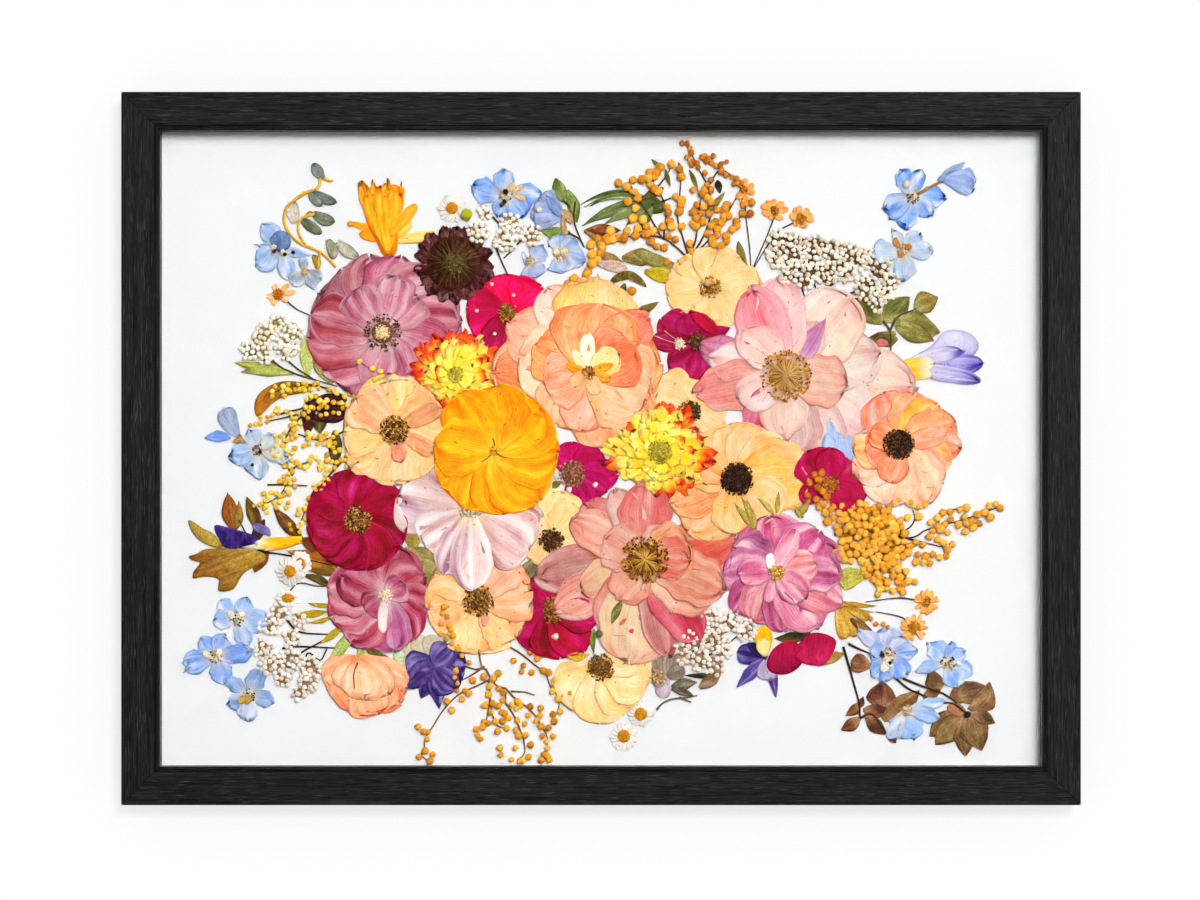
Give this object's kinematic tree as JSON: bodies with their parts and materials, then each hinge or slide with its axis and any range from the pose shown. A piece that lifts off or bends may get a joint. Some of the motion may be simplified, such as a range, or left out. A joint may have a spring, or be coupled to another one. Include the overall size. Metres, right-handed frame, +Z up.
{
  "type": "pressed flower frame",
  "caption": "Pressed flower frame: a bouquet of dried flowers held flat on a white board behind glass in a black wooden picture frame that hangs on a wall.",
  "frame": {"origin": "The point of the wall plane right behind the middle notch of the hanger, where the wall nail carries the frame.", "axes": "+Z up along the wall, +X to the right as seen from the front, -Y out of the wall towards the viewer."},
  "size_m": [0.6, 0.032, 0.446],
  "materials": {
    "black_wood": "black stain over open grain, satin",
    "clear_glass": "clear float glass, polished",
    "black_spacer": "matt black",
    "white_board": "smooth uncoated mount board",
    "brown_hardboard": "pressed hardboard, smooth side",
    "zinc_steel": "zinc plated, pressed",
    "mimosa_left": "dried pollen balls, matt and fuzzy",
    "oak_leaves": "dried leaf, matt",
    "rice_flower_left": "dried papery beads",
    "pod_sprig": "pressed and dried petals, matt",
    "mimosa_top": "dried pollen balls, matt and fuzzy",
    "yarrow_right": "dried papery florets",
    "leaf_sprig_right": "dried leaf, matt",
    "mimosa_right": "dried pollen balls, matt and fuzzy",
    "mimosa_low": "dried pollen balls, matt and fuzzy",
    "yarrow_low_left": "dried papery florets",
    "yarrow_low_right": "dried papery florets",
    "brown_leaf_spray": "dried leaf, matt",
    "delphinium_top_left": "pressed and dried petals, matt",
    "delphinium_top": "pressed and dried petals, matt",
    "delphinium_top_right": "pressed and dried petals, matt",
    "delphinium_low_left": "pressed and dried petals, matt",
    "delphinium_low_right": "pressed and dried petals, matt",
    "freesia": "pressed and dried petals, matt",
    "iris_left": "pressed and dried petals, matt",
    "iris_low_right": "pressed and dried petals, matt",
    "daffodil": "pressed and dried petals, matt",
    "cream_rose_top": "pressed and dried petals, matt",
    "burgundy_rose": "pressed and dried petals, matt",
    "cream_rose_hidden": "pressed and dried petals, matt",
    "magenta_rose_top": "pressed and dried petals, matt",
    "magenta_rose_middle": "pressed and dried petals, matt",
    "mauve_rose": "pressed and dried petals, matt",
    "strawflower": "pressed and dried petals, matt",
    "yellow_mum_left": "pressed and dried petals, matt",
    "peach_rosebud": "pressed and dried petals, matt",
    "iris_low": "pressed and dried petals, matt",
    "mauve_rose_low": "pressed and dried petals, matt",
    "crimson_rose": "pressed and dried petals, matt",
    "peach_rose": "pressed and dried petals, matt",
    "pink_peony": "pressed and dried petals, matt",
    "cream_cosmos_small": "pressed and dried petals, matt",
    "crimson_rose_low": "pressed and dried petals, matt",
    "cream_rose_low": "pressed and dried petals, matt",
    "peach_cosmos_low": "pressed and dried petals, matt",
    "pale_clematis": "pressed and dried petals, matt",
    "peach_cosmos": "pressed and dried petals, matt",
    "pink_rose": "pressed and dried petals, matt",
    "cream_poppy": "pressed and dried petals, matt",
    "magenta_rose_right": "pressed and dried petals, matt",
    "peach_poppy": "pressed and dried petals, matt",
    "yellow_mum_right": "pressed and dried petals, matt",
    "orange_pansy": "pressed and dried petals, matt",
    "mauve_peony": "pressed and dried petals, matt"
  },
  "bodies": {
    "root": {"rail_bottom": "black_wood", "rail_top": "black_wood", "rail_left": "black_wood", "rail_right": "black_wood", "glass_pane": "clear_glass", "spacer_top": "black_spacer", "spacer_bottom": "black_spacer", "spacer_left": "black_spacer", "spacer_right": "black_spacer", "mount_board": "white_board", "back_panel": "brown_hardboard", "hanger": "zinc_steel", "mimosa_left": "mimosa_left", "oak_leaves": "oak_leaves", "rice_flower_left": "rice_flower_left", "pod_sprig": "pod_sprig", "mimosa_top": "mimosa_top", "yarrow_right": "yarrow_right", "leaf_sprig_right": "leaf_sprig_right", "mimosa_right": "mimosa_right", "mimosa_low": "mimosa_low", "yarrow_low_left": "yarrow_low_left", "yarrow_low_right": "yarrow_low_right", "brown_leaf_spray": "brown_leaf_spray", "delphinium_top_left": "delphinium_top_left", "delphinium_top": "delphinium_top", "delphinium_top_right": "delphinium_top_right", "delphinium_low_left": "delphinium_low_left", "delphinium_low_right": "delphinium_low_right", "freesia": "freesia", "iris_left": "iris_left", "iris_low_right": "iris_low_right", "daffodil": "daffodil", "cream_rose_top": "cream_rose_top", "burgundy_rose": "burgundy_rose", "cream_rose_hidden": "cream_rose_hidden", "magenta_rose_top": "magenta_rose_top", "magenta_rose_middle": "magenta_rose_middle", "mauve_rose": "mauve_rose", "strawflower": "strawflower", "yellow_mum_left": "yellow_mum_left", "peach_rosebud": "peach_rosebud", "iris_low": "iris_low", "mauve_rose_low": "mauve_rose_low", "crimson_rose": "crimson_rose", "peach_rose": "peach_rose", "pink_peony": "pink_peony", "cream_cosmos_small": "cream_cosmos_small", "crimson_rose_low": "crimson_rose_low", "cream_rose_low": "cream_rose_low", "peach_cosmos_low": "peach_cosmos_low", "pale_clematis": "pale_clematis", "peach_cosmos": "peach_cosmos", "pink_rose": "pink_rose", "cream_poppy": "cream_poppy", "magenta_rose_right": "magenta_rose_right", "peach_poppy": "peach_poppy", "yellow_mum_right": "yellow_mum_right", "orange_pansy": "orange_pansy", "mauve_peony": "mauve_peony"}
  },
  "joints": []
}
